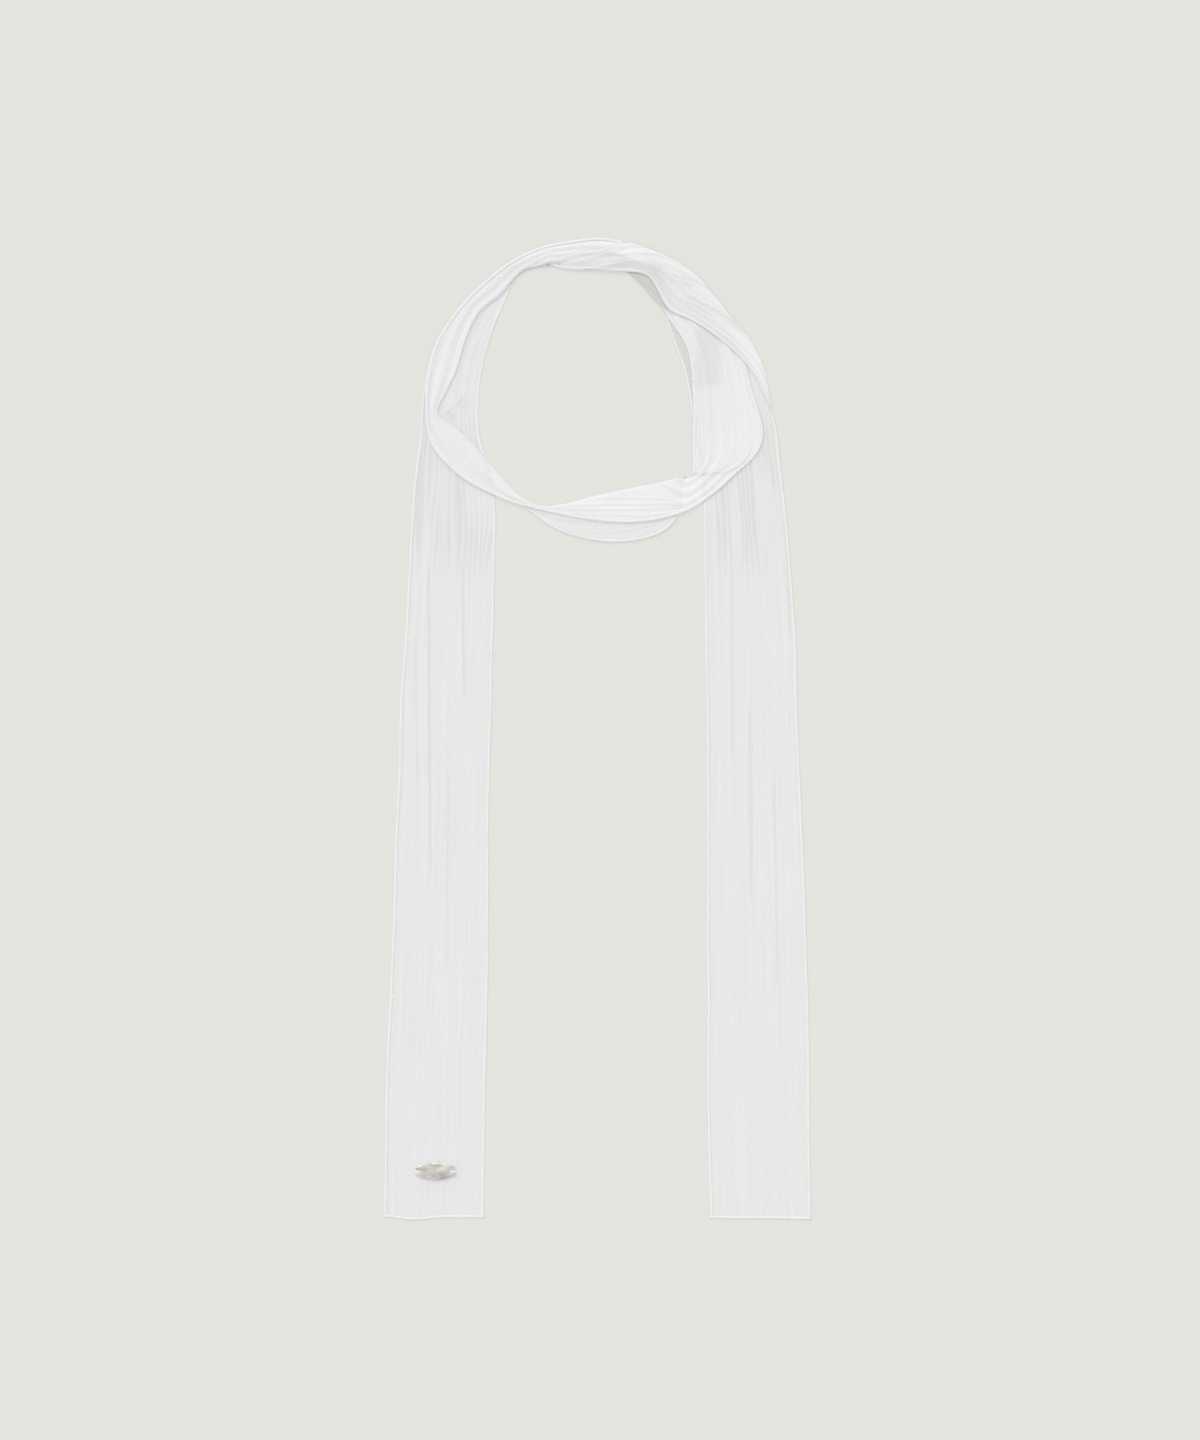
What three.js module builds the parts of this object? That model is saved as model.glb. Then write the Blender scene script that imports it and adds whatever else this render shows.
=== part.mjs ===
// Sheer scarf: one long strip of crinkled cloth, laid one turn and a half round an open neck loop,
// with both ends straight down beside each other, and a small metal plate sewn to one end.
// Millimetres. +Y runs from the ends up to the loop, +Z is up from the surface that the scarf lies on.
import * as THREE from "three";

// Cloth
const endWidth = 60; // width of the strip where it lies flat
const clothWall = 1.0; // thickness of the strip between its ribs
const ribCount = 8; // lengthwise crinkle ribs across the strip
const ribHeight = 0.55;
const ribUnevenness = 0.35; // share by which one rib is lower than another
const hemWidth = 2.2; // rolled hem on all four edges
const hemRise = 0.4; // how much thicker the hem is than the cloth
const foldRounding = 1.7; // half the stretch of cloth over which a lengthwise fold turns
const tailStep = 26; // distance between sections in the two ends
const loopStep = 10.5; // distance between sections in the neck loop
const looseningShare = 0.05; // share of the sections over which the cloth leaves the floor, at either end

const onFloor = clothWall / 2; // height of the middle of the wall where the cloth lies on the surface

// Metal plate
const plateLength = 23.6;
const plateWidth = 10.2; // across its middle
const plateEndHeight = 4.6; // across each blunt end
const plateThickness = 0.9;
const plateCentre = [-97.5, -265.5];
const notchDepth = 4.2;
const notchWidth = 1.8;
const cornerWear = 0.4; // how much of each corner is worn off
const plateGap = 0.3; // air under the plate, and round the thread in its notches

// Thread that holds each notch
const threadLength = 4.6;
const threadWidth = 1.1;
const threadHeight = 1.2;

// The two ends lie flat, each from its cut edge up to the loop.
const endColumns = ["y", "leftX", "rightX"];
const leftEnd = [
  [-294.4, -128, -68.2],
  [-245, -127.7, -67.4],
  [-198, -126.6, -66.9],
  [-154, -125.1, -66.3],
  [-86, -122.4, -65.4],
  [-29, -120, -65.1],
  [15, -118.6, -63.9],
  [65, -115.4, -62.4],
  [101, -113.4, -61.9],
  [131, -111.9, -61.2],
  [155, -109.6, -64.5],
];
const rightEnd = [
  [155, 62.1, 109.8],
  [136, 63.3, 112.2],
  [101, 63.6, 115.5],
  [49, 64.2, 118.8],
  [-3, 65.4, 120.5],
  [-81, 65.4, 123.4],
  [-159, 65.4, 126],
  [-237, 66, 127.5],
  [-294.4, 67.4, 128],
];

// The neck loop, a row for each section. Hem A is the strip's left edge in both ends, hem B its right edge.
// Between them the section bends at the spine: a lengthwise fold where the hems differ in height.
const loopColumns = ["aX", "aY", "aZ", "spineX", "spineY", "bX", "bY", "bZ"];
const loop = [
  // first turn: up the left side, lowest layer
  [-107, 176, 0.5, -89, 175, -70.8, 174, 0.5],
  [-104.6, 205, 0.5, -87, 205, -70.8, 206.5, 0.5],
  [-97, 229, 0.5, -81, 230, -65.4, 231.3, 0.5],
  [-74, 258, 0.5, -65, 255.5, -57.6, 251.7, 0.5],
  [-49.5, 279, 0.5, -47.5, 276, -45.6, 273, 0.5],
  // over the top, under the second turn
  [-19.5, 288.6, 0.6, -21, 283, -22.8, 277.2, 0.6],
  [0.8, 288.8, 1.1, 1, 283, 1.2, 276.8, 1.1],
  [18, 282.8, 2.3, 17, 279.4, 14.8, 275.2, 2.3],
  [46, 270, 3.1, 40, 264, 33.6, 257.7, 3.1],
  // down the right side, between the two flaps of the second turn
  [66, 250.5, 3.1, 56, 246, 45, 242, 3.1],
  [84.6, 229, 3.1, 71, 228, 54, 227, 3.1],
  [93.6, 199.5, 3.1, 83, 198, 57, 195.5, 3.1],
  [98.4, 184, 3.4, 92, 182, 57, 178, 3.4],
  [99.4, 175.6, 3.7, 96, 173, 57, 170.5, 3.7],
  [97, 167.4, 4, 93.6, 164.8, 57, 164, 4.1],
  [91.6, 160.4, 4.1, 87.6, 158, 57, 159, 4.4],
  // lower right turn: the strip is gathered and comes out to the left, under its own lower edge
  [84, 154.2, 3.8, 81, 154.4, 57, 155.8, 4.8],
  [76.8, 146.8, 3.3, 73.6, 153.4, 57, 154, 5],
  [69.4, 140.6, 3.2, 66.6, 152.9, 57, 153, 5],
  [62, 135.2, 3.2, 60, 152.4, 56.2, 152.5, 4.8],
  [55.2, 130.8, 3.8, 54, 151.8, 52.6, 152, 4],
  // front of the loop: a fold starts along the upper edge and hem B slides under it
  [49, 128.6, 4.9, 48.6, 151.2, 50, 147.6, 2.9],
  [43.8, 127, 5.5, 44.6, 150.2, 50.6, 136.6, 2.6],
  [38.4, 125.6, 5.8, 40, 148.8, 47.4, 125, 2.7],
  [27.4, 123.8, 5.7, 31.4, 147, 37, 116.6, 2.9],
  [13.2, 123.3, 5.3, 18, 144.3, 14.4, 111.6, 2.7],
  [-8.8, 125.5, 4.8, -5, 139.2, -10.8, 114.3, 2.2],
  [-24.4, 128.6, 4.4, -22.6, 134.6, -29.4, 121.6, 2.1],
  [-35.4, 131, 4.5, -34.4, 134, -39.4, 129.2, 2.2],
  [-50.8, 135, 4.9, -48.8, 141.4, -50.2, 136.4, 2.6],
  // over the left end
  [-65.6, 141.4, 5.3, -58.6, 152.6, -64.4, 143.6, 3],
  [-81.6, 150.2, 5.5, -68, 162.6, -79.4, 152.4, 3],
  [-94.4, 162.2, 5.5, -76.4, 172.8, -91.4, 164.6, 3],
  [-100.8, 171.6, 5.5, -86.6, 181.6, -98.2, 173.6, 3],
  // second turn: pinched at the left, then up the left side
  [-103.6, 187, 5.5, -96.3, 188.4, -102.4, 187.4, 3],
  [-103.4, 204.6, 5.5, -90.6, 202, -101.6, 204.6, 3],
  [-100.8, 221.2, 5.5, -84.6, 214, -98.6, 220.2, 3],
  [-94.2, 237.4, 5.4, -79.2, 231.5, -92, 236.2, 3],
  [-80, 256.4, 5.3, -70.4, 249.5, -78, 254.6, 3],
  [-66, 270, 5.2, -57.4, 260, -64.6, 268, 2.8],
  [-51.4, 281, 5.1, -46, 273.4, -50.2, 279.2, 2.6],
  // top: a half roll that carries the fold from the inner to the outer side
  [-36.4, 288.2, 5.2, -36.6, 276.6, -36.4, 282, 2.3],
  [-27, 290.8, 5.1, -26.8, 278.6, -26.4, 276.6, 2.4],
  [-16, 292.6, 4.3, -15, 283, -14.6, 275, 3.1],
  [1, 294.5, 3.6, 2, 289, 1.4, 274.4, 3.9],
  [21.8, 289.4, 1.8, 21, 291.8, 15, 274, 5],
  [31, 277.5, 0.8, 38, 285.4, 30, 271.6, 5.6],
  [38, 264.5, 0.6, 51.6, 278.4, 37, 260.4, 5.7],
  // down the right side: folded round the outer edge of the first turn
  [40.4, 247.6, 0.6, 62.6, 269.4, 42.4, 251, 5.7],
  [46.2, 229, 0.6, 73.6, 256, 54, 245.7, 5.7],
  [51, 216.5, 0.6, 84, 243, 64.6, 239.6, 5.7],
  [53.6, 205, 0.6, 93.2, 231, 76, 231, 5.7],
  [55.6, 193, 0.6, 99.8, 217.2, 87.4, 220.4, 5.6],
  [57, 185, 0.6, 102.2, 206.8, 93.6, 212.4, 5.3],
  [57.9, 178.6, 0.6, 103.8, 198.4, 98.2, 203.4, 4.7],
  [58.5, 175.2, 0.6, 104.4, 193, 101.8, 196.4, 3.9],
  [59, 172.2, 0.6, 104.8, 189.6, 104.6, 190.6, 2.7],
  [59.5, 169.4, 0.5, 103.6, 182.4, 106.2, 185.2, 1.4],
  [60.2, 165.6, 0.5, 97, 176, 107.4, 179.2, 0.7],
  [61, 161.4, 0.5, 90, 167.6, 108.2, 172, 0.5],
];

// A row's numbers under their column names.
function named(columns, row) {
  return Object.fromEntries(columns.map((name, i) => [name, row[i]]));
}

// A flat section of an end, as a row of the loop.
function flatRow(row) {
  const { y, leftX, rightX } = named(endColumns, row);
  const spineX = (leftX + rightX) / 2;
  const places = { aX: leftX, aY: y, spineX, spineY: y, bX: rightX, bY: y };
  return { ...places, aZ: onFloor, bZ: onFloor, step: tailStep };
}

// Every section of the strip, from the end with the plate to the other end.
function stripRows() {
  const up = leftEnd.map(flatRow);
  const round = loop.map((row) => ({ ...named(loopColumns, row), step: loopStep }));
  const down = rightEnd.map(flatRow);
  return [...up, ...round, ...down];
}

// The four lines that run the strip's length: hem A, the spine at each flap's height, and hem B.
function lengthwiseLines(rows) {
  const line = (x, y, z) => {
    const points = rows.map((row) => new THREE.Vector3(row[x], row[y], row[z]));
    return new THREE.CatmullRomCurve3(points, false, "centripetal");
  };
  return [
    line("aX", "aY", "aZ"),
    line("spineX", "spineY", "aZ"),
    line("spineX", "spineY", "bZ"),
    line("bX", "bY", "bZ"),
  ];
}

// Where sections are cut, as shares of the row count: closer in the loop, and a hem's width from each end.
function sectionPlaces(rows) {
  const places = [];
  for (let i = 0; i < rows.length - 1; i++) {
    const from = rows[i];
    const to = rows[i + 1];
    const far = Math.max(
      Math.hypot(to.aX - from.aX, to.aY - from.aY),
      Math.hypot(to.spineX - from.spineX, to.spineY - from.spineY),
      Math.hypot(to.bX - from.bX, to.bY - from.bY),
    );
    const parts = Math.max(1, Math.round(far / Math.max(from.step, to.step)));
    if (i === 0) places.push(0, hemWidth / far);
    for (let k = i === 0 ? 1 : 0; k < parts; k++) places.push(i + k / parts);
    if (i === rows.length - 2) places.push(i + 1 - hemWidth / far, i + 1);
  }
  return places.map((place) => place / (rows.length - 1));
}

// A point at a share of the way along a bent line, with each bend rounded.
function pointAcross(corners, share) {
  const lengths = corners.slice(1).map((corner, i) => corner.distanceTo(corners[i]));
  const total = lengths.reduce((sum, length) => sum + length, 0);
  const rounding = Math.min(foldRounding, share * total, (1 - share) * total);
  const samples = 9;
  const sum = new THREE.Vector3();
  for (let k = 0; k < samples; k++) {
    let left = share * total + rounding * ((2 * k) / (samples - 1) - 1);
    let leg = 0;
    while (leg < lengths.length - 1 && left > lengths[leg]) {
      left -= lengths[leg];
      leg += 1;
    }
    sum.add(corners[leg].clone().lerp(corners[leg + 1], lengths[leg] > 0 ? left / lengths[leg] : 0));
  }
  return sum.divideScalar(samples);
}

// The places across the strip: hem, alternating valleys and crests, hem. Each has its rise above the cloth.
function acrossPlaces() {
  const hemShare = hemWidth / endWidth;
  const places = [{ share: 0, rise: hemRise }, { share: hemShare, rise: hemRise }];
  for (let rib = 0; rib < ribCount; rib++) {
    const middle = hemShare + ((rib + 0.5) / ribCount) * (1 - 2 * hemShare);
    const height = ribHeight * (1 - ribUnevenness * (0.5 + 0.5 * Math.sin(2.4 * rib)));
    places.push({ share: middle, rise: height });
    if (rib < ribCount - 1) places.push({ share: middle + (1 - 2 * hemShare) / (2 * ribCount), rise: 0 });
  }
  places.push({ share: 1 - hemShare, rise: hemRise }, { share: 1, rise: hemRise });
  return places;
}

// The strip as one closed wall: an upper and a lower face, joined round all four edges.
function scarfGeometry() {
  const rows = stripRows();
  const lines = lengthwiseLines(rows);
  const along = sectionPlaces(rows);
  const across = acrossPlaces();
  const middle = along.map((t) => {
    const corners = lines.map((line) => line.getPoint(t));
    corners.forEach((corner) => (corner.z = Math.max(corner.z, onFloor)));
    return across.map(({ share }) => pointAcross(corners, share));
  });

  const last = along.length - 1;
  const edge = across.length - 1;
  const normalAt = (i, j) => {
    const alongStrip = middle[Math.min(i + 1, last)][j].clone().sub(middle[Math.max(i - 1, 0)][j]);
    const acrossStrip = middle[i][Math.min(j + 1, edge)].clone().sub(middle[i][Math.max(j - 1, 0)]);
    return acrossStrip.cross(alongStrip).normalize();
  };

  const loopStart = leftEnd.length / (rows.length - 1);
  const loopEnd = 1 - rightEnd.length / (rows.length - 1);
  const positions = [];
  for (const side of [1, -1]) {
    for (let i = 0; i <= last; i++) {
      const atCutEdge = i < 2 || i > last - 2;
      // the ends lie flat on the floor, and in the loop both faces follow the ribs
      const loose = THREE.MathUtils.smoothstep(along[i], loopStart, loopStart + looseningShare)
        * (1 - THREE.MathUtils.smoothstep(along[i], loopEnd - looseningShare, loopEnd));
      for (let j = 0; j <= edge; j++) {
        const normal = normalAt(i, j);
        // ribs rise on the side that looks up, and flatten where the cloth turns over
        const rise = (atCutEdge ? hemRise : across[j].rise) * normal.z;
        const looksUp = side * normal.z > 0;
        const offset = (side * clothWall) / 2 + (looksUp ? rise : loose * rise);
        const point = middle[i][j].clone().addScaledVector(normal, offset);
        positions.push(point.x, point.y, point.z);
      }
    }
  }

  const index = [];
  const upper = (i, j) => i * (edge + 1) + j;
  const lower = (i, j) => (last + 1) * (edge + 1) + upper(i, j);
  const quad = (a, b, c, d) => index.push(a, b, c, a, c, d);
  for (let i = 0; i < last; i++) {
    for (let j = 0; j < edge; j++) {
      quad(upper(i, j), upper(i, j + 1), upper(i + 1, j + 1), upper(i + 1, j));
      quad(lower(i, j), lower(i + 1, j), lower(i + 1, j + 1), lower(i, j + 1));
    }
    quad(upper(i, 0), upper(i + 1, 0), lower(i + 1, 0), lower(i, 0));
    quad(upper(i, edge), lower(i, edge), lower(i + 1, edge), upper(i + 1, edge));
  }
  for (let j = 0; j < edge; j++) {
    quad(upper(0, j), lower(0, j), lower(0, j + 1), upper(0, j + 1));
    quad(upper(last, j), upper(last, j + 1), lower(last, j + 1), lower(last, j));
  }
  const geometry = new THREE.BufferGeometry();
  geometry.setAttribute("position", new THREE.Float32BufferAttribute(positions, 3));
  geometry.setIndex(index);
  geometry.computeVertexNormals();
  return geometry;
}

// A long oval with blunt ends, from two arcs, with a slot cut into each end.
function plateShape() {
  const halfLength = plateLength / 2;
  const halfWidth = plateWidth / 2;
  const halfEnd = plateEndHeight / 2;
  const rise = halfWidth - halfEnd;
  const radius = (halfLength ** 2 + rise ** 2) / (2 * rise);
  const arcY = (x) => Math.sqrt(radius ** 2 - x ** 2) - (radius - halfWidth);
  const arcEnd = halfLength - cornerWear;
  const steps = 24;
  const upperArc = [new THREE.Vector2(halfLength, halfEnd - cornerWear)];
  for (let k = 0; k <= steps; k++) {
    const x = arcEnd * (1 - (2 * k) / steps);
    upperArc.push(new THREE.Vector2(x, arcY(x)));
  }
  upperArc.push(new THREE.Vector2(-halfLength, halfEnd - cornerWear));
  const lowerArc = upperArc.map((p) => new THREE.Vector2(-p.x, -p.y));
  const halfNotch = notchWidth / 2;
  const notchEnd = halfLength - notchDepth;
  const notchCorner = notchWidth / 6;
  const notch = (sign) => [
    new THREE.Vector2(sign * halfLength, -sign * halfNotch),
    new THREE.Vector2(sign * (notchEnd + notchCorner), -sign * halfNotch),
    new THREE.Vector2(sign * notchEnd, -sign * (halfNotch - notchCorner)),
    new THREE.Vector2(sign * notchEnd, sign * (halfNotch - notchCorner)),
    new THREE.Vector2(sign * (notchEnd + notchCorner), sign * halfNotch),
    new THREE.Vector2(sign * halfLength, sign * halfNotch),
  ];
  return new THREE.Shape([...upperArc, ...notch(-1), ...lowerArc, ...notch(1)]);
}

function makeScarfCloth() {
  const material = new THREE.MeshStandardMaterial({ color: 0xf3f3f1, roughness: 0.85, metalness: 0 });
  const mesh = new THREE.Mesh(scarfGeometry(), material);
  mesh.name = "scarf_cloth";
  return mesh;
}

// The sewn-on plate and its thread, all resting just above the ribs of the cloth.
const restHeight = clothWall + ribHeight + plateGap;

function makeMetalPlate() {
  const geometry = new THREE.ExtrudeGeometry(plateShape(), { depth: plateThickness, bevelEnabled: false });
  const material = new THREE.MeshStandardMaterial({ color: 0xb9b7b0, roughness: 0.35, metalness: 1 });
  const mesh = new THREE.Mesh(geometry, material);
  mesh.name = "metal_plate";
  mesh.position.z = restHeight;
  return mesh;
}

// A short bar of thread, rounded over, that lies in a notch and goes down into the cloth beyond the end.
function makeThreadBar(name, side) {
  const half = threadLength / 2;
  const profile = new THREE.Shape();
  profile.moveTo(-half, 0);
  profile.lineTo(half, 0);
  profile.absellipse(0, 0, half, threadHeight, 0, Math.PI, false);
  const extrusion = { depth: threadWidth, bevelEnabled: false, curveSegments: 10 };
  const geometry = new THREE.ExtrudeGeometry(profile, extrusion);
  geometry.translate(0, 0, -threadWidth / 2);
  geometry.rotateX(Math.PI / 2);
  const material = new THREE.MeshStandardMaterial({ color: 0xf1f0ec, roughness: 0.9, metalness: 0 });
  const mesh = new THREE.Mesh(geometry, material);
  mesh.name = name;
  const fromCentre = plateLength / 2 - notchDepth + plateGap + half;
  mesh.position.set(side * fromCentre, 0, restHeight);
  return mesh;
}

const plateGroup = new THREE.Group();
plateGroup.position.set(plateCentre[0], plateCentre[1], 0);
plateGroup.add(makeMetalPlate());
plateGroup.add(makeThreadBar("left_thread_bar", -1), makeThreadBar("right_thread_bar", 1));

const scarf = new THREE.Group();
scarf.add(makeScarfCloth(), plateGroup);

export default scarf;
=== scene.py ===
import math

import bpy
import numpy as np
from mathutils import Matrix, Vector


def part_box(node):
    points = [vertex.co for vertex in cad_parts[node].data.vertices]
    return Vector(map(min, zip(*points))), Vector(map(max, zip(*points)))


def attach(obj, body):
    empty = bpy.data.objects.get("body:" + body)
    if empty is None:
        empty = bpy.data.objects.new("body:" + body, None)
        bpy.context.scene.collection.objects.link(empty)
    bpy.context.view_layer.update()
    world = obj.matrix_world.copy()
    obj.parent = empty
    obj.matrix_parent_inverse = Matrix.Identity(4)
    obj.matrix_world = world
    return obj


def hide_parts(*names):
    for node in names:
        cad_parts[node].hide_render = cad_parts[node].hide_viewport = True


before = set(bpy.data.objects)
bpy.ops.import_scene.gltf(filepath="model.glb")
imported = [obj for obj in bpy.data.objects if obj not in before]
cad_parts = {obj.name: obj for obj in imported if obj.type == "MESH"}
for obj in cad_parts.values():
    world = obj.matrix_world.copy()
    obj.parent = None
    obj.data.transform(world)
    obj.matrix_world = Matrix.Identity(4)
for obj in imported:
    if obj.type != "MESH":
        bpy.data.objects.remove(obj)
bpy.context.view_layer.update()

# A long sheer scarf of crinkled cotton gauze, laid flat: one turn and a half round an open neck loop, both
# ends straight down, a small metal plate sewn to one of them. Metres, +Y from the ends up to the loop, +Z up.
mm = 0.001


# Colours and nodes

def linearColour(hexColour):
    channels = [int(hexColour[i:i + 2], 16) / 255 for i in (1, 3, 5)]
    return *(c / 12.92 if c <= 0.04045 else ((c + 0.055) / 1.055) ** 2.4 for c in channels), 1.0


def addNode(tree, kind, inputs=None, **settings):
    node = tree.nodes.new(kind)
    for name, value in settings.items():
        setattr(node, name, value)
    for name, value in (inputs or {}).items():
        if isinstance(value, bpy.types.NodeSocket):
            tree.links.new(value, node.inputs[name])
        else:
            node.inputs[name].default_value = value
    return node


def newMaterial(name):
    material = bpy.data.materials.new(name)
    material.use_nodes = True
    material.node_tree.nodes.clear()
    return material, material.node_tree


# Smooth seeded unevenness

def softNoise(seed, u, v, cellU, cellV):
    # random heights on a grid of cellU by cellV, eased between, from -1 to 1
    u, v = np.broadcast_arrays(np.asarray(u, float) / cellU, np.asarray(v, float) / cellV)
    u, v = u - u.min(), v - v.min()
    heights = np.random.default_rng(seed).uniform(-1, 1, (int(u.max()) + 2, int(v.max()) + 2))
    i, j = u.astype(int), v.astype(int)
    a, b = u - i, v - j
    a, b = a * a * (3 - 2 * a), b * b * (3 - 2 * b)
    near = heights[i, j] * (1 - b) + heights[i, j + 1] * b
    far = heights[i + 1, j] * (1 - b) + heights[i + 1, j + 1] * b
    return near * (1 - a) + far * a


def easeIn(x, start, end):
    t = np.clip((x - start) / (end - start), 0, 1)
    return t * t * (3 - 2 * t)


# The strip of cloth, all in millimetres until its mesh is made

cloth = {
    "width": 60.0,
    "foldRounding": 1.7,  # half the stretch of cloth over which a lengthwise fold turns
    "foldSamples": 9,  # places in that stretch, whose mean rounds the fold
    "endStep": 3.6,  # between sections in the two ends
    "loopStep": 1.75,  # between sections in the neck loop
    "smoothing": 3.5,  # length over which the sections are evened out
    "acrossCount": 112,  # cells across the strip
    "onFloor": 0.5,  # height of the middle of the cloth where it lies on the surface
    "lowest": 0.12,  # height that no crinkle dips below
    "closeness": 0.37,  # the gauze lies closer on itself than the wall that stands in for it
    "belly": 1.1,  # how far a folded flap swells up between its fold and its hem
    "bellyFold": (1.7, 4.7),  # difference in height between the hems where it begins, and where it is full
    "bellyShape": 1.5,
    "cutWave": 1.3,  # how far the two cut ends wander from straight
    "cutPitch": 0.6,  # of that wander, as a share of half the width
    "cutReach": 30.0,  # length over which it fades
    "cutSeeds": (51, 52),
    "edgeWave": 0.5,  # how far the long edges of the two ends wander
    "edgePitches": (45.0, 38.0),
    "edgeReach": (300.0, 400.0),  # from the cut ends, where that begins to fade and where it is gone
    "edgeSeeds": (53, 54),
}

# Each end lies flat, from its cut edge up to the loop and back down.
endColumns = ("y", "leftX", "rightX")
leftEnd = [
    (-294.4, -128, -68.2),
    (-245, -127.7, -67.4),
    (-198, -126.6, -66.9),
    (-154, -125.1, -66.3),
    (-86, -122.4, -65.4),
    (-29, -120, -65.1),
    (15, -118.6, -63.9),
    (65, -115.4, -62.4),
    (101, -113.4, -61.9),
    (131, -111.9, -61.2),
    (155, -109.6, -64.5),
]
rightEnd = [
    (155, 62.1, 109.8),
    (136, 63.3, 112.2),
    (101, 63.6, 115.5),
    (49, 64.2, 118.8),
    (-3, 65.4, 120.5),
    (-81, 65.4, 123.4),
    (-159, 65.4, 126),
    (-237, 66, 127.5),
    (-294.4, 67.4, 128),
]

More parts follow.
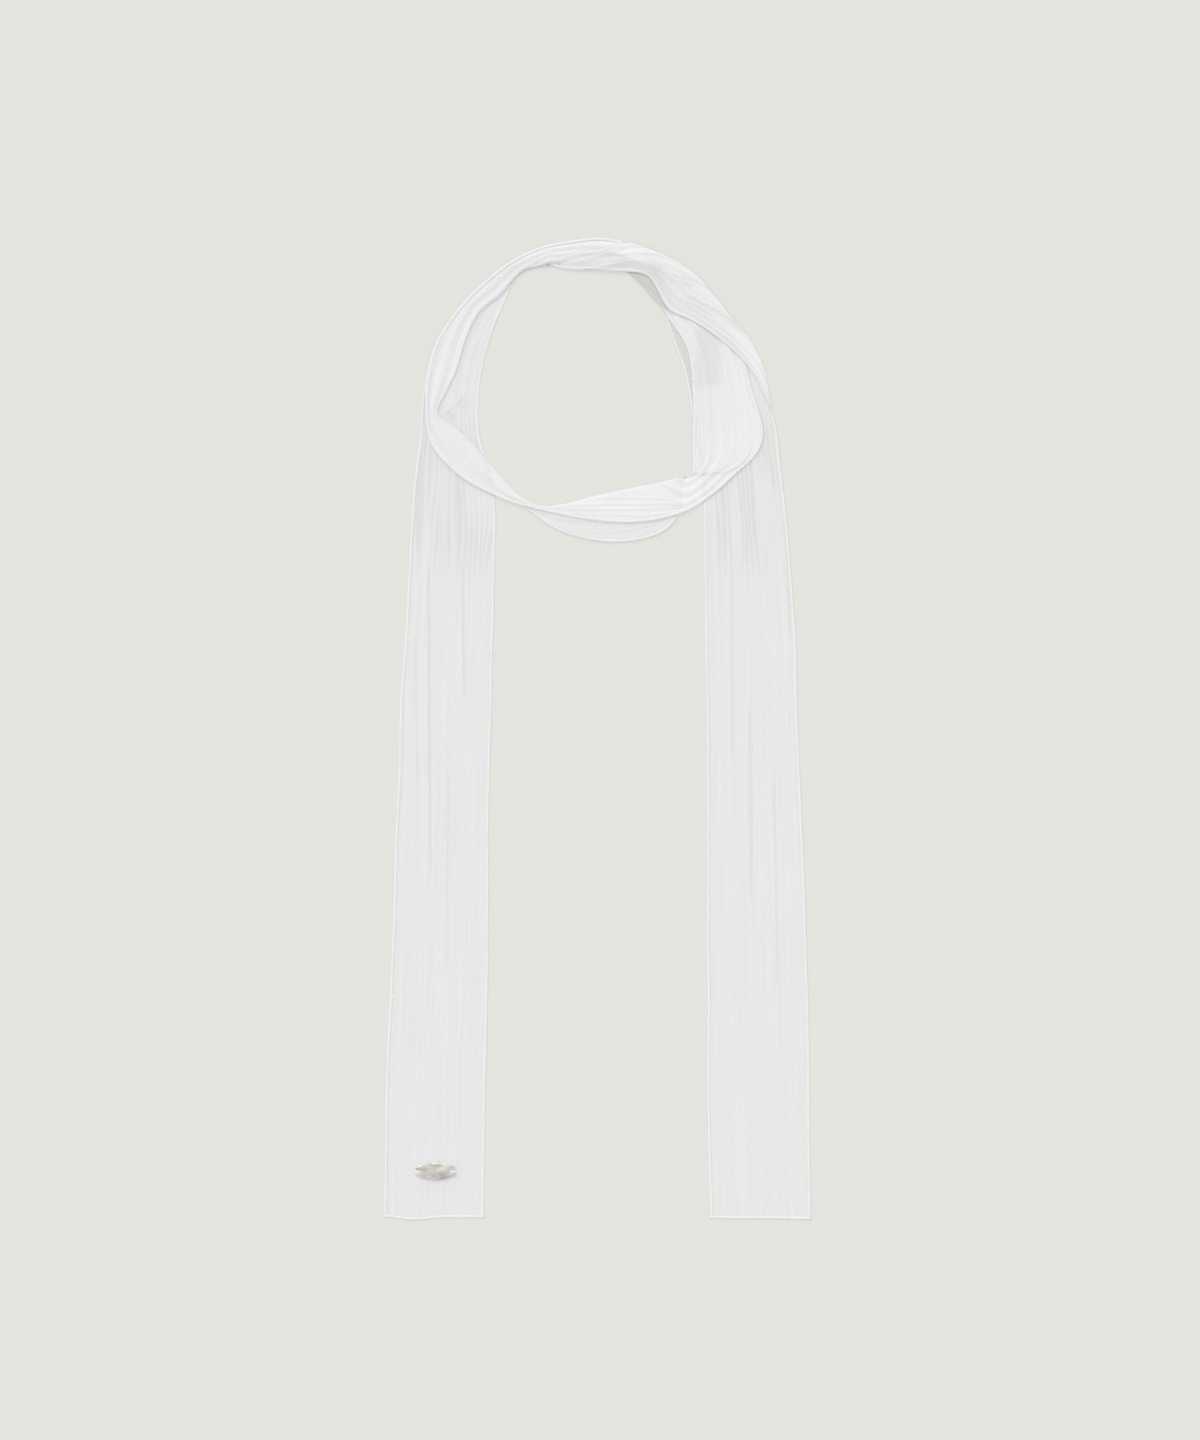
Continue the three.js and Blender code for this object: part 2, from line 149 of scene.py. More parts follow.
# The neck loop, a row for each section. Hem A is the strip's left edge in both ends, hem B its right edge.
# Between them the section bends at the spine: a lengthwise fold where the two hems have different heights.
loopColumns = ("aX", "aY", "aZ", "spineX", "spineY", "bX", "bY", "bZ")
loop = [
    # first turn: up the left side, lowest layer
    (-107, 176, 0.5, -89, 175, -70.8, 174, 0.5),
    (-104.6, 205, 0.5, -87, 205, -70.8, 206.5, 0.5),
    (-97, 229, 0.5, -81, 230, -65.4, 231.3, 0.5),
    (-74, 258, 0.5, -65, 255.5, -57.6, 251.7, 0.5),
    (-49.5, 279, 0.5, -47.5, 276, -45.6, 273, 0.5),
    # over the top, under the second turn
    (-19.5, 288.6, 0.6, -21, 283, -22.8, 277.2, 0.6),
    (0.8, 288.8, 1.1, 1, 283, 1.2, 276.8, 1.1),
    (18, 282.8, 2.3, 17, 279.4, 14.8, 275.2, 2.3),
    (46, 270, 3.1, 40, 264, 33.6, 257.7, 3.1),
    # down the right side, between the two flaps of the second turn
    (66, 250.5, 3.1, 56, 246, 45, 242, 3.1),
    (84.6, 229, 3.1, 71, 228, 54, 227, 3.1),
    (93.6, 199.5, 3.1, 83, 198, 57, 195.5, 3.1),
    (98.4, 184, 3.4, 92, 182, 57, 178, 3.4),
    (99.4, 175.6, 3.7, 96, 173, 57, 170.5, 3.7),
    (97, 167.4, 4, 93.6, 164.8, 57, 164, 4.1),
    (91.6, 160.4, 4.1, 87.6, 158, 57, 159, 4.4),
    # lower right turn: the strip is gathered and comes out to the left, under its own lower edge
    (84, 154.2, 3.8, 81, 154.4, 57, 155.8, 4.8),
    (76.8, 146.8, 3.3, 73.6, 153.4, 57, 154, 5),
    (69.4, 140.6, 3.2, 66.6, 152.9, 57, 153, 5),
    (62, 135.2, 3.2, 60, 152.4, 56.2, 152.5, 4.8),
    (55.2, 130.8, 3.8, 54, 151.8, 52.6, 152, 4),
    # front of the loop: a fold starts along the upper edge and hem B slides under it
    (49, 128.6, 4.9, 48.6, 151.2, 50, 147.6, 2.9),
    (43.8, 127, 5.5, 44.6, 150.2, 50.6, 136.6, 2.6),
    (38.4, 125.6, 5.8, 40, 148.8, 47.4, 125, 2.7),
    (27.4, 123.8, 5.7, 31.4, 147, 37, 116.6, 2.9),
    (13.2, 123.3, 5.3, 18, 144.3, 14.4, 111.6, 2.7),
    (-8.8, 125.5, 4.8, -5, 139.2, -10.8, 114.3, 2.2),
    (-24.4, 128.6, 4.4, -22.6, 134.6, -29.4, 121.6, 2.1),
    (-35.4, 131, 4.5, -34.4, 134, -39.4, 129.2, 2.2),
    (-50.8, 135, 4.9, -48.8, 141.4, -50.2, 136.4, 2.6),
    # over the left end
    (-65.6, 141.4, 5.3, -58.6, 152.6, -64.4, 143.6, 3),
    (-81.6, 150.2, 5.5, -68, 162.6, -79.4, 152.4, 3),
    (-94.4, 162.2, 5.5, -76.4, 172.8, -91.4, 164.6, 3),
    (-100.8, 171.6, 5.5, -86.6, 181.6, -98.2, 173.6, 3),
    # second turn: pinched at the left, then up the left side
    (-103.6, 187, 5.5, -96.3, 188.4, -102.4, 187.4, 3),
    (-103.4, 204.6, 5.5, -90.6, 202, -101.6, 204.6, 3),
    (-100.8, 221.2, 5.5, -84.6, 214, -98.6, 220.2, 3),
    (-94.2, 237.4, 5.4, -79.2, 231.5, -92, 236.2, 3),
    (-80, 256.4, 5.3, -70.4, 249.5, -78, 254.6, 3),
    (-66, 270, 5.2, -57.4, 260, -64.6, 268, 2.8),
    (-51.4, 281, 5.1, -46, 273.4, -50.2, 279.2, 2.6),
    # top: a half roll that carries the fold from the inner to the outer side
    (-36.4, 288.2, 5.2, -36.6, 276.6, -36.4, 282, 2.3),
    (-27, 290.8, 5.1, -26.8, 278.6, -26.4, 276.6, 2.4),
    (-16, 292.6, 4.3, -15, 283, -14.6, 275, 3.1),
    (1, 294.5, 3.6, 2, 289, 1.4, 274.4, 3.9),
    (21.8, 289.4, 1.8, 21, 291.8, 15, 274, 5),
    (31, 277.5, 0.8, 38, 285.4, 30, 271.6, 5.6),
    (38, 264.5, 0.6, 51.6, 278.4, 37, 260.4, 5.7),
    # down the right side: folded round the outer edge of the first turn
    (40.4, 247.6, 0.6, 62.6, 269.4, 42.4, 251, 5.7),
    (46.2, 229, 0.6, 73.6, 256, 54, 245.7, 5.7),
    (51, 216.5, 0.6, 84, 243, 64.6, 239.6, 5.7),
    (53.6, 205, 0.6, 93.2, 231, 76, 231, 5.7),
    (55.6, 193, 0.6, 99.8, 217.2, 87.4, 220.4, 5.6),
    (57, 185, 0.6, 102.2, 206.8, 93.6, 212.4, 5.3),
    (57.9, 178.6, 0.6, 103.8, 198.4, 98.2, 203.4, 4.7),
    (58.5, 175.2, 0.6, 104.4, 193, 101.8, 196.4, 3.9),
    (59, 172.2, 0.6, 104.8, 189.6, 104.6, 190.6, 2.7),
    (59.5, 169.4, 0.5, 103.6, 182.4, 106.2, 185.2, 1.4),
    (60.2, 165.6, 0.5, 97, 176, 107.4, 179.2, 0.7),
    (61, 161.4, 0.5, 90, 167.6, 108.2, 172, 0.5),
]


def flatRow(row):
    # a row of an end as a row of the loop
    end = dict(zip(endColumns, row))
    flat = {"aX": end["leftX"], "spineX": (end["leftX"] + end["rightX"]) / 2, "bX": end["rightX"]}
    flat.update({name: end["y"] for name in ("aY", "spineY", "bY")})
    flat.update({name: cloth["onFloor"] for name in ("aZ", "bZ")})
    return [flat[name] for name in loopColumns]


def columnsOf(rows, *names):
    return rows[:, [loopColumns.index(name) for name in names]]


def smoothLine(points, t):
    # centripetal Catmull-Rom through points, t counts the points
    points = np.vstack([2 * points[0] - points[1], points, 2 * points[-1] - points[-2]])
    i = np.clip(t.astype(int), 0, len(points) - 4)
    w = (t - i)[:, None]
    p0, p1, p2, p3 = (points[i + k] for k in range(4))
    steps = (p1 - p0, p2 - p1, p3 - p2)
    g0, g1, g2 = (np.maximum(np.linalg.norm(step, axis=1), 1e-6)[:, None] ** 0.5 for step in steps)
    out = ((p1 - p0) / g0 - (p2 - p0) / (g0 + g1) + (p2 - p1) / g1) * g1
    into = ((p2 - p1) / g1 - (p3 - p1) / (g1 + g2) + (p3 - p2) / g2) * g1
    bend = -3 * p1 + 3 * p2 - 2 * out - into
    swing = 2 * p1 - 2 * p2 + out + into
    return p1 + out * w + bend * w ** 2 + swing * w ** 3


def sectionPlaces(rows):
    # where the sections lie, counted in rows: close together in the loop, further apart in the two ends
    lines = [columnsOf(rows, *names) for names in (("aX", "aY"), ("spineX", "spineY"), ("bX", "bY"))]
    far = np.max([np.linalg.norm(np.diff(line, axis=0), axis=1) for line in lines], axis=0)
    loopStart, loopEnd = len(leftEnd) - 2, len(rows) - len(rightEnd)
    places = []
    for i, distance in enumerate(far):
        step = cloth["loopStep" if loopStart <= i <= loopEnd else "endStep"]
        parts = max(1, round(distance / step))
        places += [i + k / parts for k in range(parts)]
    return np.array(places + [len(rows) - 1.0])


def evenedOut(values, along, spread):
    # a weighted mean over neighbours along the strip, with the two cut edges left where they are
    smooth = np.empty_like(values)
    for i, s in enumerate(along):
        reach = min(3 * spread, s - along[0], along[-1] - s) + 1e-6
        near = np.abs(along - s) <= reach
        weight = np.exp(-0.5 * ((along[near] - s) / spread) ** 2)
        smooth[i] = np.tensordot(weight / weight.sum(), values[near], axes=1)
    return smooth


def clothMiddle():
    # points of the cloth's middle, a row for each section; the run along the strip; each section's width
    rows = np.array([flatRow(row) for row in leftEnd] + loop + [flatRow(row) for row in rightEnd], float)
    t = sectionPlaces(rows)
    lines = (("aX", "aY", "aZ"), ("spineX", "spineY", "aZ"), ("spineX", "spineY", "bZ"), ("bX", "bY", "bZ"))
    corners = np.stack([smoothLine(columnsOf(rows, *names), t) for names in lines], axis=1)
    steps = np.linalg.norm(np.diff(corners.mean(axis=1), axis=0), axis=1)
    run = np.concatenate([[0], np.cumsum(steps)])
    corners = evenedOut(corners, run, cloth["smoothing"])
    aboveFloor = np.maximum(corners[:, :, 2] - cloth["onFloor"], 0)
    corners[:, :, 2] = cloth["onFloor"] + cloth["closeness"] * aboveFloor
    shares = np.linspace(0, 1, cloth["acrossCount"] + 1)
    turns = np.linspace(-1, 1, cloth["foldSamples"])
    middle = np.empty((len(t), len(shares), 3))
    width = np.empty(len(t))
    for i, bent in enumerate(corners):
        reached = np.concatenate([[0], np.cumsum(np.linalg.norm(np.diff(bent, axis=0), axis=1))])
        width[i] = reached[-1]
        rounding = np.minimum(cloth["foldRounding"], np.minimum(shares, 1 - shares) * reached[-1])
        at = shares[:, None] * reached[-1] + rounding[:, None] * turns
        for axis in range(3):
            middle[i, :, axis] = np.interp(at, reached, bent[:, axis]).mean(axis=1)
        middle[i, :, 2] += bellyAcross(shares * reached[-1], reached, bent)
    return waved(middle, run), run, width


def bellyAcross(at, reached, bent):
    # the upper flap of a folded section swells a little, most in its middle
    height = (bent[3, 2] - bent[0, 2]) / cloth["closeness"]
    folded = easeIn(abs(height), *cloth["bellyFold"])
    start, end = (reached[2], reached[3]) if height > 0 else (reached[0], reached[1])
    share = np.clip((at - start) / max(end - start, 1e-6), 0, 1)
    return cloth["belly"] * folded * np.sin(math.pi * share) ** cloth["bellyShape"]


def waved(middle, run):
    # cut ends and long edges that are not quite straight
    shares = np.linspace(-1, 1, middle.shape[1])[None, :]
    along = run[:, None]
    fromCut = np.minimum(along, run[-1] - along)
    atCut = 1 - easeIn(fromCut, 0, cloth["cutReach"])
    inEnd = 1 - easeIn(fromCut, *cloth["edgeReach"])
    cuts = [softNoise(seed, shares + 1, 0 * shares, cloth["cutPitch"], 1) for seed in cloth["cutSeeds"]]
    left, right = (
        softNoise(seed, along, 0 * along, pitch, 1)
        for seed, pitch in zip(cloth["edgeSeeds"], cloth["edgePitches"])
    )
    sway = left * (0.5 - 0.5 * shares) + right * (0.5 + 0.5 * shares)
    middle[:, :, 1] += cloth["cutWave"] * atCut * np.where(inSecondTurn(run), cuts[1], cuts[0])
    middle[:, :, 0] += cloth["edgeWave"] * inEnd * sway
    return middle


def surfaceNormals(points):
    across = np.gradient(points, axis=1)
    along = np.gradient(points, axis=0)
    normal = np.cross(across, along)
    return normal / np.maximum(np.linalg.norm(normal, axis=2, keepdims=True), 1e-9)


# How the layers of the loop lie on each other, with heights in mm as layerHeight gives them

layers = {
    "foldHeight": (2.1, 2.8),  # difference in height across a section where it begins to count as folded
    "flapHeight": (-0.6, 0.6),  # from the middle of a folded section, where its upper flap begins
    "secondLayer": (1.35, 2.6),  # cloth this high lies on more of itself
    "lowestLayer": 2.0,  # cloth lower than this lies on the floor and takes the pleats
    "topLayer": (2.4, 3.6),  # the second turn's cloth higher than this takes the folds of the ring
    "flapShade": 0.8,  # how dark the shade painted on the lower flap on the right side is
    "flapShadeFrom": (5, 25),  # mm from the middle to the right, where that shade begins
    "flapShadeTo": (75, 90),  # and where it ends
    "patchFade": (6.0, 10.0),  # mm over which a patch of painted shade fades, across and up
}

# Soft patches of painted shade where a layer of the loop's first or second turn lies deep, in mm
patchColumns = ("turn", "fromX", "toX", "fromY", "toY", "depth")
patches = [
    (1, 4, 48, 246, 290, 0.95),  # painted shade under the slanting right side
    (1, 56, 76, 200, 246, 0.3),
    (2, -38, 42, 262, 283, 0.28),  # painted shade along the lower edge of the ring's top
]


def layerHeight(middle):
    # the height at which the layers would lie if they were as thick as the wall that stands in for them
    return cloth["onFloor"] + (middle[:, :, 2] - cloth["onFloor"]) / cloth["closeness"]


def inSecondTurn(run):
    # the later half of the strip: the front of the loop, its second turn and the plain end
    return (run > 0.5 * run[-1])[:, None]


def backedCloth(middle):
    # 1 where the cloth lies on more of itself, 0 where it is a single layer; and the lower flaps under a fold
    z = layerHeight(middle)
    low, high = z.min(axis=1, keepdims=True), z.max(axis=1, keepdims=True)
    folded = easeIn(high - low, *layers["foldHeight"])
    upper = easeIn(z - 0.5 * (low + high), *layers["flapHeight"])
    return folded * upper + (1 - folded) * easeIn(z, *layers["secondLayer"]), folded * (1 - upper)


def flapShade(middle, run, under):
    # shade painted on the second turn's lower flap on the right side
    x = middle[:, :, 0]
    rightSide = easeIn(x, *layers["flapShadeFrom"]) * (1 - easeIn(x, *layers["flapShadeTo"]))
    return layers["flapShade"] * under * inSecondTurn(run) * rightSide


def patchShade(points, run):
    # how much shade the patches paint at each point
    turn = np.where(inSecondTurn(run), 2, 1)
    shade = np.zeros(points.shape[:2])
    for row in patches:
        patch = dict(zip(patchColumns, row))
        strength = patch["depth"] * (turn == patch["turn"])
        for axis, (first, last) in enumerate((("fromX", "toX"), ("fromY", "toY"))):
            place, fade = points[:, :, axis], layers["patchFade"][axis]
            begins = easeIn(place, patch[first], patch[first] + fade)
            ends = easeIn(place, patch[last] - fade, patch[last])
            strength = strength * begins * (1 - ends)
        shade = np.maximum(shade, strength)
    return shade


# Crinkle: lengthwise ribs pressed into the cloth, closer together where the strip is gathered, and shade
# painted into the hollows between them

crinkle = {
    "ribPitch": 3.9,  # mm of cloth from rib to rib
    "ribDrift": 3.4,  # how far a rib wanders sideways
    "shortDrift": 0.35,  # share of that wander which turns within a few centimetres
    "ribSteepness": 0.1,  # rib height as a share of the distance between ribs, where the cloth lies flat
    "gatheredSteepness": 0.075,  # the same where it is gathered
    "ribLean": 0.7,  # ribs lean over to one side, with a steep and a gentle flank
    "ribStrength": (0.5, 0.8),  # its mean, and how far it varies along the ribs
    "weakestRib": 0.05,
    "sunk": 0.55,  # share of a rib that lies below the middle of the cloth
    "finePitch": 1.7,
    "fineSteepness": 0.035,
    "fineDrift": 0.9,
    "gathering": (0.05, 0.55),  # share of the width taken up where the gathers begin, and where they are full
    "gatherPitch": 15.0,  # broader folds, only where the cloth is gathered
    "gatherSteepness": 0.08,
    "gatherDrift": 5.0,
    "mottle": 0.22,  # mm, soft unevenness across the ribs
    "calmEdge": (0.4, 3.0),  # mm from the edge between which the crinkle rises to its full height
    "calmShare": 0.2,  # what is left of it at the edge
    "nearRing": (78.0, 118.0),  # mm up from the middle, where the ring begins to weigh on the ribs
    "pastRing": (168.0, 205.0),  # and where it no longer does
    "nearRingRibs": 1.6,  # how much higher the ribs rise there
    "nearRingShade": 0.55,  # how dark the shade painted into the hollows between them is
    "pleatWidth": 2.4,  # mm, of a single pleat's gentle flank
    "pleatSteepWidth": 0.7,
    "pleatFade": 14.0,  # mm over which one begins and ends
    "hollowAside": 1.0,  # mm from a pleat's line to the hollow beside it, where shade is painted
    "hollowWidth": 0.75,
    "topShade": 0.45,  # how dark the shade painted into the hollows beside the ring's folds is
}

# Seeded unevenness of the crinkle: the seed, then mm across and along the strip from one value to the next
crinkleNoise = {
    "ribDrift": (11, 9.0, 90.0),
    "shortDrift": (12, 5.0, 30.0),
    "ribStrength": (13, 6.0, 55.0),
    "fineDrift": (21, 3.5, 20.0),
    "fineStrength": (22, 8.0, 25.0),
    "gatherDrift": (31, 18.0, 110.0),
    "mottle": (32, 11.0, 14.0),
}

# Single pleats and creases pressed into the cloth, each a line with its depth
pleatColumns = ("fromX", "fromY", "toX", "toY", "depth")
topFolds = [
    # broad folds that run aslant over the top of the ring
    (-22, 278, 16, 288.4, 1.3),
    (-15, 274.4, 25, 282, 1.1),
    (-36, 279.6, 20, 290.6, 1.0),
    # raised folds along the slanting right side
    (38, 272.4, 64, 265.4, 1.1),
    (45, 261.6, 76, 247, 1.3),
    (66, 251.6, 92, 237, 1.2),
]
pleats = [
    # plate end
    (-102.6, 104, -101.4, -92, 0.5),
    (-82.2, 104, -81, 12, 0.45),
    (-110.4, 60, -109.2, -40, 0.3),
    (-90.6, -20, -91.8, -150, 0.3),
    (-84, -130.2, -71.4, -134.4, 0.5),
    (-76.2, -14.4, -72.6, -17.4, 0.4),
    (-118.2, -30.6, -112.8, -27.6, 0.4),
    # plain end
    (90, 20, 91.2, -106, 0.45),
    (111.6, 130, 114.6, 50, 0.5),
    (79.2, 106, 79.8, -24, 0.4),
    (104.4, -20, 106.8, -160, 0.3),
    # crumpled crease beside the pinch
    (-93, 185.4, -84.6, 192.9, 1.7),
    (-85.2, 192.3, -79.2, 198.6, 1.7),
]


def pleatHeights(middle, table, inLayer):
    # how far the cloth rises along the lines of a table, and how dark the shade painted into the hollows
    # beside them is
    heights = np.zeros(middle.shape[:2])
    hollowShade = np.zeros(middle.shape[:2])
    for row in table:
        pleat = dict(zip(pleatColumns, row))
        start = np.array([pleat["fromX"], pleat["fromY"]])
        line = np.array([pleat["toX"], pleat["toY"]]) - start
        length = np.linalg.norm(line)
        offset = middle[:, :, :2] - start
        along = offset @ line / length
        aside = (offset[:, :, 0] * line[1] - offset[:, :, 1] * line[0]) / length
        fade = min(crinkle["pleatFade"], length / 2)
        strength = easeIn(along, 0, fade) * easeIn(length - along, 0, fade)
        flank = np.where(aside > 0, crinkle["pleatWidth"], crinkle["pleatSteepWidth"])
        heights += pleat["depth"] * strength * np.exp(-(aside / flank) ** 2)
        beside = np.exp(-((aside + crinkle["hollowAside"]) / crinkle["hollowWidth"]) ** 2)
        hollowShade += pleat["depth"] * strength * beside
    return heights * inLayer, np.minimum(hollowShade, 1) * inLayer


def crinkleHeights(middle, run, width):
    # how far the cloth rises in ribs, gathers, pleats and folds, and how much shade is painted into its
    # hollows
    u = np.linspace(0, cloth["width"], cloth["acrossCount"] + 1)[None, :]
    v = run[:, None]
    noise = {name: softNoise(seed, u, v, *cells) for name, (seed, *cells) in crinkleNoise.items()}
    squeeze = np.minimum(width / cloth["width"], 1.0)[:, None]  # how much closer the ribs lie
    gathered = easeIn(1 - squeeze, *crinkle["gathering"])
    lowest = layerHeight(middle) < layers["lowestLayer"]
    onTop = inSecondTurn(run) * easeIn(layerHeight(middle), *layers["topLayer"])
    y = middle[:, :, 1]
    nearRing = easeIn(y, *crinkle["nearRing"]) * (1 - easeIn(y, *crinkle["pastRing"])) * lowest

    drift = crinkle["ribDrift"] * (noise["ribDrift"] + crinkle["shortDrift"] * noise["shortDrift"])
    angle = 2 * math.pi * (u + drift) / crinkle["ribPitch"]
    ribs = 0.5 + 0.5 * np.cos(angle + crinkle["ribLean"] * np.sin(angle))
    mean, spread = crinkle["ribStrength"]
    strength = np.clip(mean + spread * noise["ribStrength"], crinkle["weakestRib"], 1)
    strength = strength + nearRing * crinkle["nearRingRibs"] * strength
    steepness = crinkle["ribSteepness"] * (1 - gathered) + crinkle["gatheredSteepness"] * gathered
    height = crinkle["ribPitch"] * squeeze * steepness * strength * (ribs - crinkle["sunk"])

    fineAngle = 2 * math.pi * (u + crinkle["fineDrift"] * noise["fineDrift"]) / crinkle["finePitch"]
    fine = np.cos(fineAngle) * (0.5 + 0.5 * noise["fineStrength"])
    height += crinkle["finePitch"] * squeeze * crinkle["fineSteepness"] * fine
    gatherAngle = 2 * math.pi * (u + crinkle["gatherDrift"] * noise["gatherDrift"]) / crinkle["gatherPitch"]
    gathers = 0.5 * np.cos(gatherAngle)
    height += crinkle["gatherPitch"] * squeeze * crinkle["gatherSteepness"] * gathered * gathers
    height += crinkle["mottle"] * noise["mottle"] * (1 - gathered)

    pleated, pleatShade = pleatHeights(middle, pleats, lowest)
    folded, foldShade = pleatHeights(middle, topFolds, onTop)
    edge = np.minimum(u, cloth["width"] - u)
    calm = crinkle["calmShare"] + (1 - crinkle["calmShare"]) * easeIn(edge, *crinkle["calmEdge"])
    # painted shade in the valleys between the ribs near the ring
    valleyShade = nearRing * crinkle["nearRingShade"] * (1 - ribs) ** 2 * np.minimum(strength, 1)
    hollowShade = np.maximum(valleyShade, pleatShade + crinkle["topShade"] * foldShade)
    return (height + pleated + folded) * calm, hollowShade


def makeMesh(name, points, faces, material, uv=None, measures=None):
    # points in metres; measures are named numbers, one for each point, that the material reads
    mesh = bpy.data.meshes.new(name)
    mesh.from_pydata([tuple(p) for p in points], [], faces)
    mesh.validate()
    mesh.polygons.foreach_set("use_smooth", [True] * len(mesh.polygons))
    if uv is not None:
        layer = mesh.uv_layers.new(name="strip")
        corner = np.empty(len(mesh.loops), np.int32)
        mesh.loops.foreach_get("vertex_index", corner)
        layer.data.foreach_set("uv", uv[corner].astype(np.float32).ravel())
    for measure, values in (measures or {}).items():
        column = mesh.attributes.new(measure, "FLOAT", "POINT")
        column.data.foreach_set("value", values.astype(np.float32).ravel())
    mesh.materials.append(material)
    piece = bpy.data.objects.new(name, mesh)
    bpy.context.scene.collection.objects.link(piece)
    return piece


def gridFaces(rows, columns):
    i, j = np.meshgrid(np.arange(rows - 1), np.arange(columns - 1), indexing="ij")
    first = (i * columns + j).ravel()
    return np.stack([first, first + 1, first + columns + 1, first + columns], axis=1).tolist()


# Sheer cotton gauze, woven loosely and crinkled wet: soft white, matt, lets a little of what is under it show
gauze = {
    "openColour": "#F3F4FA",  # where it lies flat, a single open weave
    "backedLitColour": "#F6F6F8",  # where it lies on more of itself: less blue, as no warm floor shows through to offset, and a little brighter, painted light for what the layers under it throw back
    "paintedShadeColour": "#D3D2D1",  # painted shade: in the hollows beside creases and ribs, in patches where the loop's layers lie deep, and on the right side's lower flap
    "streakContrast": 0.05,  # how much darker the thin places are
    "threadPitch": 1.2,  # mm; the real threads are about 0.4 mm apart, drawn coarser so that they show
    "threadRelief": 0.12,  # beside the relief of the streaks
    "streakWidth": 3.4,  # mm, slubs and pressed lines along the strip
    "streakLength": 95.0,
    "streakDetail": 1.5,
    "puckerWidth": 2.6,  # mm, the small cross puckers of crinkled cloth
    "puckerLength": 1.5,
    "puckerDetail": 1.0,
    "puckerShare": 0.22,  # of the unevenness, beside the streaks
    "noiseRange": (0.3, 0.7),  # between which the noise textures mostly lie
    "openCover": 0.46,  # how much of the view the threads cover where the cloth lies flat
    "backedCover": 0.84,  # and where more cloth lies under it
    "unevenCover": 0.19,  # between thin and dense places
    "roughness": (0.78, 0.92),
    "bump": (0.4, 0.4),  # strength, and depth in mm
    "glow": 0.16,  # share of the light that comes through the threads from behind
}

# The sockets of a Mix node go by number: 0 is the factor, 2 and 3 take plain values, 6 and 7 take colours.


